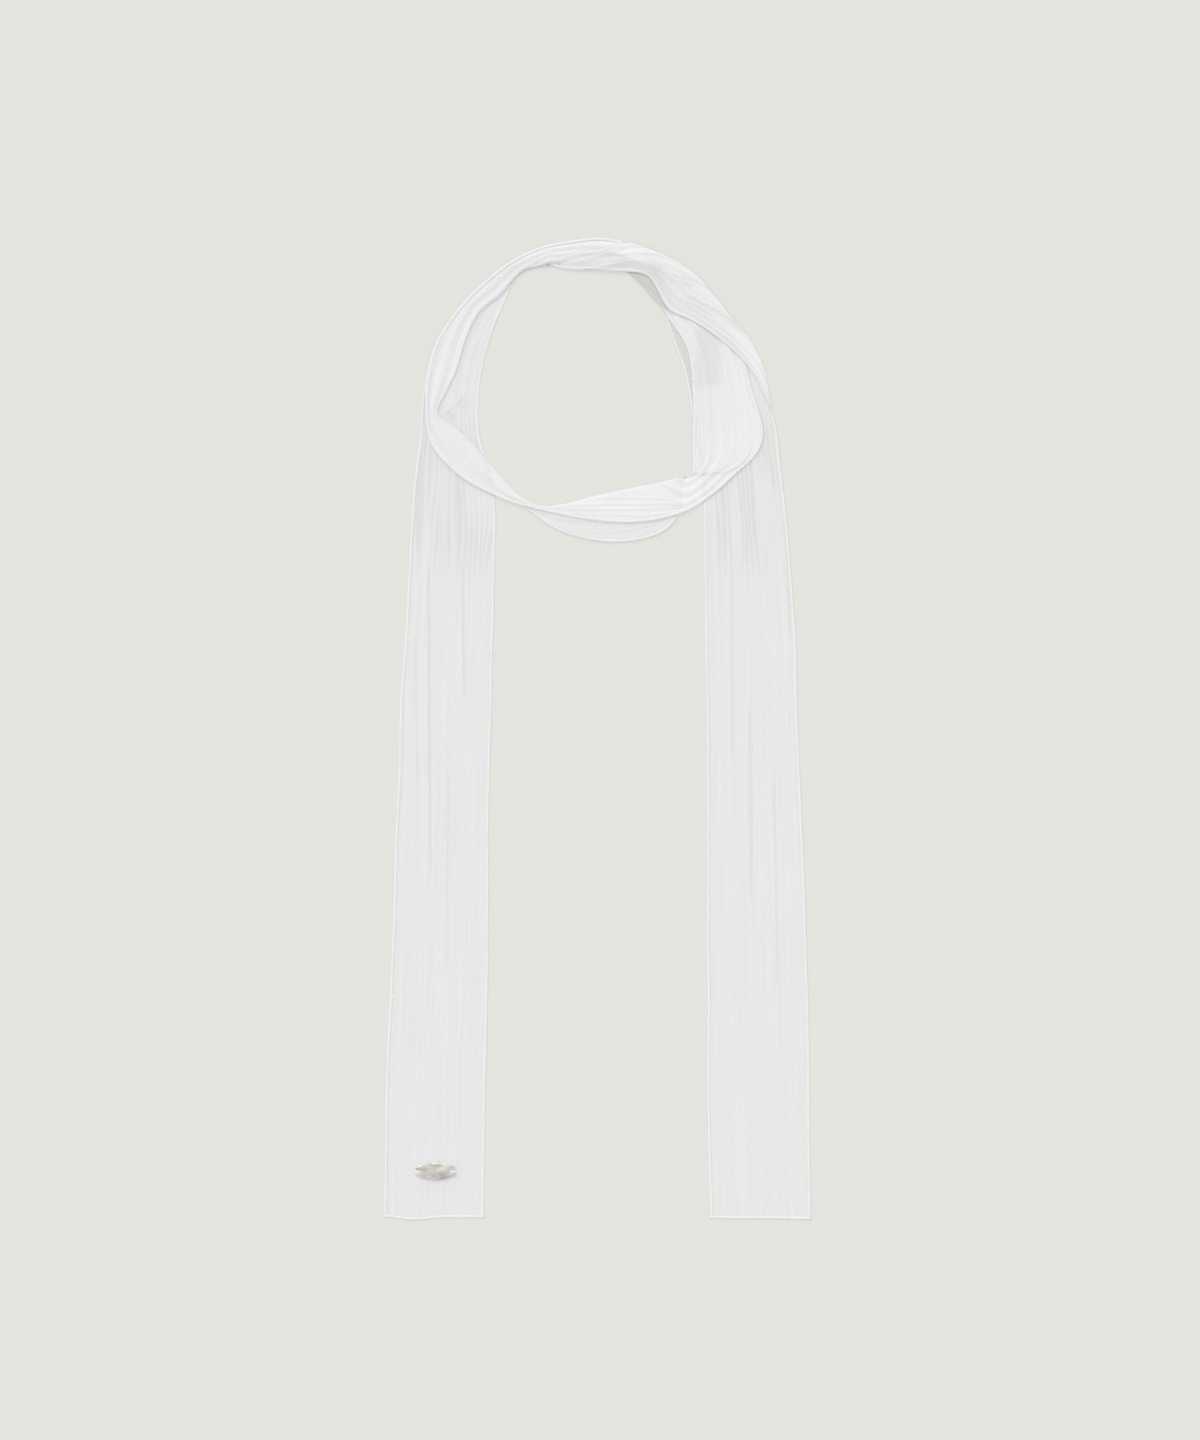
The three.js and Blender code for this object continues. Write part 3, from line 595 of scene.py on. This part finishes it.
def makeGauze():
    material, tree = newMaterial("crinkledCottonGauze")
    place = addNode(tree, "ShaderNodeUVMap", uv_map="strip").outputs["UV"]
    apart = addNode(tree, "ShaderNodeSeparateXYZ", {"Vector": place})
    turn = 2 * math.pi / (gauze["threadPitch"] * mm)
    waves = []
    for direction in ("X", "Y"):
        angle = addNode(tree, "ShaderNodeMath", {0: apart.outputs[direction], 1: turn}, operation="MULTIPLY")
        waves.append(addNode(tree, "ShaderNodeMath", {0: angle.outputs[0]}, operation="SINE").outputs[0])
    weave = addNode(tree, "ShaderNodeMath", {0: waves[0], 1: waves[1]}, operation="MULTIPLY").outputs[0]
    noises = []
    for pattern in ("streak", "pucker"):
        scale = (1 / (gauze[pattern + "Width"] * mm), 1 / (gauze[pattern + "Length"] * mm), 1)
        mapped = addNode(tree, "ShaderNodeMapping", {"Vector": place, "Scale": scale})
        noise = addNode(tree, "ShaderNodeTexNoise", {
            "Vector": mapped.outputs["Vector"], "Scale": 1.0, "Detail": gauze[pattern + "Detail"],
        })
        noises.append(noise.outputs["Fac"])
    streaks, puckers = noises
    mottle = addNode(tree, "ShaderNodeMix", {0: gauze["puckerShare"], 2: streaks, 3: puckers}).outputs[0]
    backed = addNode(tree, "ShaderNodeAttribute", attribute_name="backed").outputs["Fac"]
    # painted shade, read from the mesh: how far the cloth's colour is darkened where shade falls
    paintedShade = addNode(tree, "ShaderNodeAttribute", attribute_name="paintedShade").outputs["Fac"]

    low, high = gauze["noiseRange"]
    halfUneven = 0.5 * gauze["unevenCover"]
    evenCover = addNode(tree, "ShaderNodeMapRange", {
        "Value": backed, "To Min": gauze["openCover"], "To Max": gauze["backedCover"],
    })
    unevenness = addNode(tree, "ShaderNodeMapRange", {
        "Value": mottle, "From Min": low, "From Max": high, "To Min": -halfUneven, "To Max": halfUneven,
    })
    cover = addNode(tree, "ShaderNodeMath", {
        0: evenCover.outputs["Result"], 1: unevenness.outputs["Result"],
    }, operation="ADD", use_clamp=True).outputs[0]

    thin = 1 - gauze["streakContrast"]
    # painted light: the cloth is a little brighter where it lies on more of itself
    evenColour = addNode(tree, "ShaderNodeMix", {
        0: backed, 6: linearColour(gauze["openColour"]), 7: linearColour(gauze["backedLitColour"]),
    }, data_type="RGBA").outputs[2]
    paintedShadeColour = addNode(tree, "ShaderNodeMix", {
        0: paintedShade, 6: evenColour, 7: linearColour(gauze["paintedShadeColour"]),
    }, data_type="RGBA").outputs[2]
    thinness = addNode(tree, "ShaderNodeMix", {
        0: mottle, 6: (thin, thin, thin, 1), 7: (1, 1, 1, 1),
    }, data_type="RGBA").outputs[2]
    colour = addNode(tree, "ShaderNodeMix", {
        0: 1.0, 6: paintedShadeColour, 7: thinness,
    }, data_type="RGBA", blend_type="MULTIPLY").outputs[2]

    smooth, rough = gauze["roughness"]
    roughness = addNode(tree, "ShaderNodeMapRange", {
        "Value": puckers, "From Min": low, "From Max": high, "To Min": smooth, "To Max": rough,
    }).outputs["Result"]
    threadHeight = addNode(tree, "ShaderNodeMath", {0: weave, 1: gauze["threadRelief"]}, operation="MULTIPLY")
    relief = addNode(tree, "ShaderNodeMath", {0: mottle, 1: threadHeight.outputs[0]}, operation="ADD")
    strength, depth = gauze["bump"]
    bump = addNode(tree, "ShaderNodeBump", {
        "Height": relief.outputs[0], "Strength": strength, "Distance": depth * mm,
    }).outputs["Normal"]
    threads = addNode(tree, "ShaderNodeBsdfPrincipled", {
        "Base Color": colour, "Roughness": roughness, "IOR": 1.5, "Normal": bump,
        "Sheen Weight": 0.15, "Sheen Roughness": 0.5, "Specular IOR Level": 0.2,
    }).outputs["BSDF"]
    glow = addNode(tree, "ShaderNodeBsdfTranslucent", {"Color": colour, "Normal": bump}).outputs["BSDF"]
    lit = addNode(tree, "ShaderNodeMixShader", {0: gauze["glow"], 1: threads, 2: glow}).outputs[0]
    gaps = addNode(tree, "ShaderNodeBsdfTransparent").outputs["BSDF"]
    surface = addNode(tree, "ShaderNodeMixShader", {0: cover, 1: gaps, 2: lit}).outputs[0]
    addNode(tree, "ShaderNodeOutputMaterial", {"Surface": surface})
    return material


def finishSurface(tree, settings, colour, pattern, sockets):
    # a surface whose roughness and relief follow one pattern
    (smooth, rough), (strength, depth) = settings["roughness"], settings["bump"]
    gloss = addNode(tree, "ShaderNodeMapRange", {"Value": pattern, "To Min": smooth, "To Max": rough})
    relief = addNode(tree, "ShaderNodeBump", {
        "Height": pattern, "Strength": strength, "Distance": depth * mm,
    })
    surface = addNode(tree, "ShaderNodeBsdfPrincipled", {
        "Base Color": colour, "Roughness": gloss.outputs["Result"], "Normal": relief.outputs["Normal"],
        **sockets,
    })
    addNode(tree, "ShaderNodeOutputMaterial", {"Surface": surface.outputs["BSDF"]})


# Hem: the cloth's edges rolled over twice and sewn down, so it is whiter and stiffer than the cloth

hem = {
    "width": 1.9,
    "height": 0.66,
    "step": 1.15,  # between the rings of points along it
    "sides": 9,
    "girth": 4.0,  # of cloth round the roll
    "unevenness": 0.16,
    "unevenLength": 9.0,
    "stitchPitch": 2.7,
    "stitchLength": 1.7,
    "stitchWidth": 0.34,
    "stitchInset": 2.45,  # from the edge of the cloth
    "stitchStart": 1.0,  # from the beginning of a row
    "stitchPull": 0.07,  # share by which each stitch narrows the roll
    "stitchRings": ((0.0, 0.35), (0.25, 1.0), (0.75, 1.0), (1.0, 0.35)),  # shares of its length and its width
    "stitchSides": 5,
    "rowStep": 0.45,  # between the points that a row of stitches follows
    "pullWidth": 0.5,  # mm, the fine slanting pulls across the roll
    "pullLength": 2.2,
    "pullSlant": 0.5,
    "roughness": (0.75, 0.92),
    "bump": (0.6, 0.3),
    "colour": "#EAEAEB",
    "shade": "#E1E1E3",
    "paintedShadeColour": "#CBCAC8",  # painted shade, where the hem lies in a patch of shade
}


def makeHemMaterial():
    # several layers of the gauze: no longer sheer, brighter, with slanting pulls across the roll
    material, tree = newMaterial("rolledCottonHem")
    place = addNode(tree, "ShaderNodeUVMap", uv_map="strip").outputs["UV"]
    mapped = addNode(tree, "ShaderNodeMapping", {
        "Vector": place, "Rotation": (0, 0, hem["pullSlant"]),
        "Scale": (1 / (hem["pullWidth"] * mm), 1 / (hem["pullLength"] * mm), 1),
    }).outputs["Vector"]
    noise = addNode(tree, "ShaderNodeTexNoise", {"Vector": mapped, "Scale": 1.0, "Detail": 3.0})
    pulls = noise.outputs["Fac"]
    # painted shade, read from the mesh
    paintedShade = addNode(tree, "ShaderNodeAttribute", attribute_name="paintedShade").outputs["Fac"]
    rolled = addNode(tree, "ShaderNodeMix", {
        0: pulls, 6: linearColour(hem["shade"]), 7: linearColour(hem["colour"]),
    }, data_type="RGBA").outputs[2]
    colour = addNode(tree, "ShaderNodeMix", {
        0: paintedShade, 6: rolled, 7: linearColour(hem["paintedShadeColour"]),
    }, data_type="RGBA").outputs[2]
    sockets = {"IOR": 1.5, "Sheen Weight": 0.1, "Sheen Roughness": 0.5, "Specular IOR Level": 0.2}
    finishSurface(tree, hem, colour, pulls, sockets)
    return material


def unit(vectors):
    return vectors / np.maximum(np.linalg.norm(vectors, axis=-1, keepdims=True), 1e-9)


def valuesAt(at, run, table):
    return np.stack([np.interp(at, run, column) for column in table.T], axis=1)


def resampled(run, step, *tables):
    at = np.linspace(run[0], run[-1], max(2, round((run[-1] - run[0]) / step) + 1))
    return [at] + [valuesAt(at, run, table) for table in tables]


def joined(parts):
    # several lists of points and faces as one
    points, faces, already = [], [], 0
    for partPoints, partFaces in parts:
        faces += [tuple(corner + already for corner in face) for face in partFaces]
        already += len(partPoints)
        points.append(partPoints)
    return np.concatenate(points), faces


def sweptTube(centres, sideways, upwards, halfWidths, halfHeights, sides):
    # a closed tube: rings of points, a quad between each two, a cap on each end
    angles = np.linspace(0, 2 * math.pi, sides, endpoint=False)
    asides = np.cos(angles)[None, :, None] * halfWidths[:, None, None]
    rises = np.sin(angles)[None, :, None] * halfHeights[:, None, None]
    rings = centres[:, None, :] + sideways[:, None, :] * asides + upwards[:, None, :] * rises
    faces = []
    for i in range(len(centres) - 1):
        for k in range(sides):
            a, b = i * sides + k, i * sides + (k + 1) % sides
            faces.append((a, b, b + sides, a + sides))
    faces.append(tuple(range(sides - 1, -1, -1)))
    faces.append(tuple(range((len(centres) - 1) * sides, len(centres) * sides)))
    return rings.reshape(-1, 3), faces


def makeHem(name, edgeLine, inwards, upwards, lineRun, material, seed):
    at, line, inward, upward = resampled(lineRun, hem["step"], edgeLine, inwards, upwards)
    inward, upward = unit(inward), unit(upward)
    pull = 1 - hem["stitchPull"] * (0.5 + 0.5 * np.cos(2 * math.pi * at / hem["stitchPitch"]))
    uneven = 1 + hem["unevenness"] * softNoise(seed, at, 0 * at, hem["unevenLength"], 1)
    halfWidths = 0.5 * hem["width"] * uneven * pull
    halfHeights = 0.5 * hem["height"] * (2 - uneven) * pull
    centres = line + inward * (0.5 * hem["width"])
    points, faces = sweptTube(centres, -inward, upward, halfWidths, halfHeights, hem["sides"])
    around = np.tile(np.linspace(0, hem["girth"], hem["sides"], endpoint=False), len(centres))
    uv = np.stack([around * mm, np.repeat(at, hem["sides"]) * mm], axis=1)
    # painted shade from the same patches as the cloth
    shade = np.repeat(patchShade(centres[:, None, :], at), hem["sides"])
    piece = makeMesh(name, points * mm, faces, material, uv, {"paintedShade": shade})
    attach(piece, "root")
    return piece


def stitchRow(line, upward, lineRun):
    # one small thread bead for each stitch along a line
    at, line, upward = resampled(lineRun, hem["rowStep"], line, upward)
    upward = unit(upward)
    places, thickness = np.array(hem["stitchRings"]).T
    half = 0.5 * hem["stitchWidth"] * thickness
    beads = []
    for start in np.arange(hem["stitchStart"], at[-1] - hem["stitchLength"], hem["stitchPitch"]):
        along = start + hem["stitchLength"] * places
        centres = valuesAt(along, at, line)
        up = unit(valuesAt(along, at, upward))
        forward = np.repeat(unit(centres[-1:] - centres[:1]), len(places), axis=0)
        sideways = unit(np.cross(forward, up))
        beads.append(sweptTube(centres, sideways, up, half, half, hem["stitchSides"]))
    return joined(beads)


# Sewing thread: twisted cotton, matt and slightly warm

thread = {
    "colour": "#F8F7F4",
    "shade": "#E9E7E2",
    "twistPitch": 0.7,  # mm
    "strands": 5,
    "radius": 0.19,
    "sides": 7,
    "steps": 16,
    "spread": 0.8,  # share of the slot's width that the strands take up
    "wander": 0.12,
    "wanderTurn": 1.9,  # from one strand's wander to the next
    "lowerStrand": 0.12,  # share by which every other strand lies lower
    "archShape": 0.6,
    "footDepth": 0.25,  # below the plate's underside
    "roughness": (0.7, 0.88),
    "bump": (0.5, 0.1),  # strength, and depth in mm
}


def makeThreadMaterial():
    # the twist gives each strand fine slanting bands of light and shade
    material, tree = newMaterial("twistedSewingThread")
    place = addNode(tree, "ShaderNodeTexCoord").outputs["Object"]
    turned = addNode(tree, "ShaderNodeMapping", {"Vector": place, "Rotation": (0.4, 0.3, 0.7)})
    bandWidth = 0.314  # of a wave texture at a scale of 1
    scale = bandWidth / (thread["twistPitch"] * mm)
    twist = addNode(tree, "ShaderNodeTexWave", {
        "Vector": turned.outputs["Vector"], "Scale": scale, "Distortion": 0.6,
    }).outputs["Fac"]
    colour = addNode(tree, "ShaderNodeMix", {
        0: twist, 6: linearColour(thread["shade"]), 7: linearColour(thread["colour"]),
    }, data_type="RGBA").outputs[2]
    sockets = {"IOR": 1.53, "Specular IOR Level": 0.3}
    finishSurface(tree, thread, colour, twist, sockets)
    return material


# Metal plate: a long oval stamped from sheet, an open notch in each blunt end, brushed and a little worn

plate = {
    "length": 23.6,
    "width": 10.2,  # across its middle
    "endHeight": 4.6,  # across each blunt end
    "thickness": 0.9,
    "centre": (-97.5, -265.5),
    "notchDepth": 4.2,
    "notchWidth": 1.8,
    "notchSteps": (0.25, 1.2, 2.4),  # from the notch's end to the columns of points beside it
    "notchCells": 3,  # across the notch
    "sideCells": 5,  # from the notch's side out to the arc
    "middleColumns": 29,
    "cornerWear": 0.4,
    "restHeight": 1.85,  # underside above the floor
    "dome": 0.25,
    "domeAcross": 0.6,  # how much of the dome falls away across the plate, beside 1 along it
    "edgeRounding": 0.24,
    "roundedFrom": 50.0,  # degrees between two faces
    "lift": 1.0,  # how far the thread draws the cloth up to the plate
    "liftAround": (16.8, 12.1),  # from its centre, along and across it, where the cloth begins to rise
    "liftSlope": 0.45,  # share of that distance over which it rises
    "liftEnd": 120.0,  # length of the strip's end in which the plate lies
    "colour": "#E3E1DB",
    # painted reflection: the colour of the darker clouds
    "shade": "#C2BFB8",
    "brushPitch": 0.18,  # mm between brush marks
    "brushLength": 14.0,
    "cloudLength": 7.0,  # mm, soft clouds of painted reflection, lighter and darker, that slant across the plate
    "cloudWidth": 3.2,
    "cloudSlant": -0.45,
    "reflectionRange": (0.36, 0.62),  # of the clouds, from darkest to brightest
    "roughness": (0.24, 0.5),
    "bump": (0.35, 0.06),
}


def makePlateMaterial():
    # nickel silver, stamped and brushed lengthwise: a warm grey metal with soft streaks, and soft clouds of
    # painted reflection, lighter and darker
    material, tree = newMaterial("brushedNickelSilver")
    place = addNode(tree, "ShaderNodeTexCoord").outputs["Object"]
    marks = 1 / (plate["brushPitch"] * mm)
    brushPlace = addNode(tree, "ShaderNodeMapping", {
        "Vector": place, "Scale": (1 / (plate["brushLength"] * mm), marks, marks),
    }).outputs["Vector"]
    brush = addNode(tree, "ShaderNodeTexNoise", {"Vector": brushPlace, "Scale": 1.0, "Detail": 3.0})
    cloudPlace = addNode(tree, "ShaderNodeMapping", {
        "Vector": place, "Rotation": (0, 0, plate["cloudSlant"]),
        "Scale": (1 / (plate["cloudLength"] * mm), 1 / (plate["cloudWidth"] * mm), 1),
    }).outputs["Vector"]
    clouds = addNode(tree, "ShaderNodeTexNoise", {"Vector": cloudPlace, "Scale": 1.0, "Detail": 2.0})
    darkestCloud, bright = plate["reflectionRange"]
    paintedReflection = addNode(tree, "ShaderNodeMapRange", {
        "Value": clouds.outputs["Fac"], "From Min": darkestCloud, "From Max": bright,
    })
    colour = addNode(tree, "ShaderNodeMix", {
        0: paintedReflection.outputs["Result"], 6: linearColour(plate["shade"]), 7: linearColour(plate["colour"]),
    }, data_type="RGBA").outputs[2]
    sockets = {"Metallic": 1.0, "Anisotropic": 0.4}
    finishSurface(tree, plate, colour, brush.outputs["Fac"], sockets)
    return material


def plateLift(skin, run):
    # the thread draws the cloth up to the plate
    along, across = (
        np.abs(skin[:, :, axis] - plate["centre"][axis]) / plate["liftAround"][axis] for axis in range(2)
    )
    risen = easeIn(1 - np.maximum(along, across), 0, plate["liftSlope"])
    return plate["lift"] * risen * (run < plate["liftEnd"])[:, None]


def makePlate():
    halfLength, halfWidth = plate["length"] / 2, plate["width"] / 2
    halfNotch = plate["notchWidth"] / 2
    rise = halfWidth - plate["endHeight"] / 2
    radius = (halfLength ** 2 + rise ** 2) / (2 * rise)  # of either long arc
    notchEnd = halfLength - plate["notchDepth"]
    arcEnd = halfLength - plate["cornerWear"]
    right = [notchEnd + step for step in plate["notchSteps"]] + [arcEnd, halfLength]
    columns = [-x for x in reversed(right)]
    columns += list(np.linspace(-notchEnd, notchEnd, plate["middleColumns"])) + right
    inner = np.linspace(halfNotch, -halfNotch, plate["notchCells"] + 1)[1:-1]
    points = []
    for x in columns:
        arc = math.sqrt(radius ** 2 - x ** 2) - (radius - halfWidth)
        if abs(x) > arcEnd:
            arc -= plate["cornerWear"]
        outer = np.linspace(arc, halfNotch, plate["sideCells"] + 1)
        for y in np.concatenate([outer, inner, -outer[::-1]]):
            fall = (x / halfLength) ** 2 + (y / halfWidth) ** 2 * plate["domeAcross"]
            points.append((x, y, plate["thickness"] + plate["dome"] * (1 - fall)))
    rows = len(points) // len(columns)
    nearEnd = notchEnd + 1e-6
    faces = []
    for i in range(len(columns) - 1):
        besideNotch = columns[i] < -nearEnd or columns[i + 1] > nearEnd
        for j in range(rows - 1):
            inNotch = besideNotch and plate["sideCells"] <= j < rows - 1 - plate["sideCells"]
            if not inNotch:
                a = i * rows + j
                faces.append((a + 1, a + rows + 1, a + rows, a))
    centre = np.array([*plate["centre"], plate["restHeight"]])
    piece = makeMesh("brushed_plate", (np.array(points) + centre) * mm, faces, makePlateMaterial())
    wall = piece.modifiers.new("thickness", "SOLIDIFY")
    wall.thickness = plate["thickness"] * mm
    wall.offset = -1.0
    rounding = piece.modifiers.new("worn edge", "BEVEL")
    rounding.width = plate["edgeRounding"] * mm
    rounding.segments = 3
    rounding.limit_method = "ANGLE"
    rounding.angle_limit = math.radians(plate["roundedFrom"])
    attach(piece, "root")
    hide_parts("metal_plate")


def makeThread(name, node, side, material):
    # strands that arch from the notch over the plate's end and down into the cloth
    low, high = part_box(node)
    halfLength = (high.x - low.x) / 2 / mm
    middleX, middleY = (low.x + high.x) / 2 / mm, (low.y + high.y) / 2 / mm
    top, foot = high.z / mm - thread["radius"], plate["restHeight"] - thread["footDepth"]
    angles = np.linspace(math.pi, 0, thread["steps"])
    half = np.full(thread["steps"], thread["radius"])
    strands = []
    for strand in range(thread["strands"]):
        aside = (strand / (thread["strands"] - 1) - 0.5) * (high.y - low.y) / mm * thread["spread"]
        wander = thread["wander"] * np.sin(angles * 2 + strand * thread["wanderTurn"])
        arch = (top - foot) * (1 - thread["lowerStrand"] * (strand % 2))
        x = middleX + side * (halfLength - thread["radius"]) * -np.cos(angles)
        y = middleY + aside + wander
        z = foot + arch * np.sin(angles) ** thread["archShape"]
        line = np.stack([x, y, z], axis=1)
        forward = unit(np.gradient(line, axis=0))
        sideways = unit(np.cross(forward, [0.0, 0.0, 1.0]))
        upward = np.cross(sideways, forward)
        strands.append(sweptTube(line, sideways, upward, half, half, thread["sides"]))
    points, faces = joined(strands)
    piece = makeMesh(name, points * mm, faces, material)
    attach(piece, "root")
    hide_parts(node)


# Floor, light and camera

studio = {
    "floorColour": "#898885",
    "floorGlow": 0.512,  # the backdrop is lit from below as well, so shadows on it stay faint
    "floorGlowColour": "#FFFEF9",
    "floorLines": (0.3, 0.6, 1.5, 4.0, 15.0),  # metres from the middle, small faces under the scarf
    "grainPitch": 2.5,  # mm
    "grainDepth": 0.2,
    "skyColour": "#FBFBFA",
    "skyStrength": 0.76,
    "keyStrength": 1.42,
    "keyAngle": 45.0,  # degrees, as soft as a large softbox
    "keyFrom": (-0.35, 0.75, 1.0),
    "photoHeight": 864.0,  # mm that the photo's height spans
    "photoCentre": (1.2, 5.1),  # mm
    "cameraHeight": 3.0,
}


def makeFloor():
    # matt paper with a faint grain: an even, light ground
    material, tree = newMaterial("mattPaperBackdrop")
    grain = addNode(tree, "ShaderNodeTexNoise", {"Scale": 1 / (studio["grainPitch"] * mm), "Detail": 2.0})
    bump = addNode(tree, "ShaderNodeBump", {
        "Height": grain.outputs["Fac"], "Strength": 0.02, "Distance": studio["grainDepth"] * mm,
    })
    paper = addNode(tree, "ShaderNodeBsdfDiffuse", {
        "Color": linearColour(studio["floorColour"]), "Normal": bump.outputs["Normal"],
    })
    glow = addNode(tree, "ShaderNodeEmission", {
        "Color": linearColour(studio["floorGlowColour"]), "Strength": studio["floorGlow"],
    })
    both = addNode(tree, "ShaderNodeAddShader", {0: paper.outputs[0], 1: glow.outputs[0]})
    addNode(tree, "ShaderNodeOutputMaterial", {"Surface": both.outputs[0]})
    places = [-x for x in reversed(studio["floorLines"])] + [0.0] + list(studio["floorLines"])
    points = [(x, y, 0.0) for y in places for x in places]
    floor = makeMesh("paper_floor", points, gridFaces(len(places), len(places)), material)


def makeLights():
    world = bpy.data.worlds.new("softRoom")
    world.use_nodes = True
    sky = world.node_tree.nodes["Background"]
    sky.inputs["Color"].default_value = linearColour(studio["skyColour"])
    sky.inputs["Strength"].default_value = studio["skyStrength"]
    bpy.context.scene.world = world

    key = bpy.data.lights.new("softKey", "SUN")
    key.energy = studio["keyStrength"]
    key.angle = math.radians(studio["keyAngle"])
    lamp = bpy.data.objects.new("softKey", key)
    lamp.rotation_mode = "QUATERNION"
    direction = -Vector(studio["keyFrom"])
    lamp.rotation_quaternion = direction.to_track_quat("-Z", "Y")
    bpy.context.scene.collection.objects.link(lamp)


def makeCamera():
    # straight above; its view at the floor is as high as the photo
    data = bpy.data.cameras.new("fromAbove")
    data.lens = data.sensor_width * studio["cameraHeight"] / (studio["photoHeight"] * mm)
    camera = bpy.data.objects.new("fromAbove", data)
    camera.location = (studio["photoCentre"][0] * mm, studio["photoCentre"][1] * mm, studio["cameraHeight"])
    bpy.context.scene.collection.objects.link(camera)
    bpy.context.scene.camera = camera
    bpy.context.scene.view_settings.view_transform = "Standard"


print("studio")
makeFloor()
makeLights()
makeCamera()

print("cloth")
middle, run, width = clothMiddle()
normals = surfaceNormals(middle)
heights, hollowShade = crinkleHeights(middle, run, width)
# the crinkle rises towards the side that looks up, and flattens where the cloth turns over
skin = middle + normals * normals[:, :, 2:] * heights[:, :, None]
lift = plateLift(skin, run)
skin[:, :, 2] = np.maximum(skin[:, :, 2], cloth["lowest"]) + lift
across = np.linspace(0, cloth["width"], cloth["acrossCount"] + 1)
uv = np.stack(np.broadcast_arrays(across[None, :] * mm, run[:, None] * mm), axis=2).reshape(-1, 2)
# backed also paints the cloth a little brighter where it lies on more of itself
backed, under = backedCloth(middle)
# painted shade: the hollows, the deep patches and the right side's lower flap darken the cloth's colour
paintedShade = np.maximum.reduce([hollowShade, patchShade(middle, run), flapShade(middle, run, under)])
measures = {"backed": backed, "paintedShade": paintedShade}
scarfFaces = gridFaces(*skin.shape[:2])
scarf = makeMesh("sheer_cloth", skin.reshape(-1, 3) * mm, scarfFaces, makeGauze(), uv, measures)
print("cloth triangles", 2 * len(scarf.data.polygons), "length in mm", round(run[-1]))
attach(scarf, "root")
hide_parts("scarf_cloth")

print("hems and stitches")
hemMaterial = makeHemMaterial()
threadMaterial = makeThreadMaterial()
inwardA, inwardB = unit(middle[:, 3] - middle[:, 0]), unit(middle[:, -4] - middle[:, -1])
first, last = middle[0], middle[-1]
forwardFirst = np.tile(unit(middle[2, :1] - middle[0, :1]), (len(first), 1))
forwardLast = np.tile(unit(middle[-3, :1] - middle[-1, :1]), (len(last), 1))
hems = [
    makeHem("outer_side_hem", middle[:, 0], inwardA, normals[:, 1], run, hemMaterial, 41),
    makeHem("inner_side_hem", middle[:, -1], inwardB, normals[:, -2], run, hemMaterial, 42),
    makeHem("plate_end_hem", first, forwardFirst, normals[0], across, hemMaterial, 43),
    makeHem("plain_end_hem", last, forwardLast, normals[-1], across, hemMaterial, 44),
]
inColumn = round(hem["stitchInset"] / cloth["width"] * cloth["acrossCount"])
inRow = max(1, int(np.searchsorted(run, hem["stitchInset"])))
stitchPoints, stitchFaces = joined([
    stitchRow(skin[:, inColumn], normals[:, inColumn], run),
    stitchRow(skin[:, -1 - inColumn], normals[:, -1 - inColumn], run),
    stitchRow(skin[inRow], normals[inRow], across),
    stitchRow(skin[-1 - inRow], normals[-1 - inRow], across),
])
stitches = makeMesh("hem_stitches", stitchPoints * mm, stitchFaces, threadMaterial)
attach(stitches, "root")

print("plate and its thread")
makePlate()
makeThread("left_plate_thread", "left_thread_bar", -1, threadMaterial)
makeThread("right_plate_thread", "right_thread_bar", 1, threadMaterial)
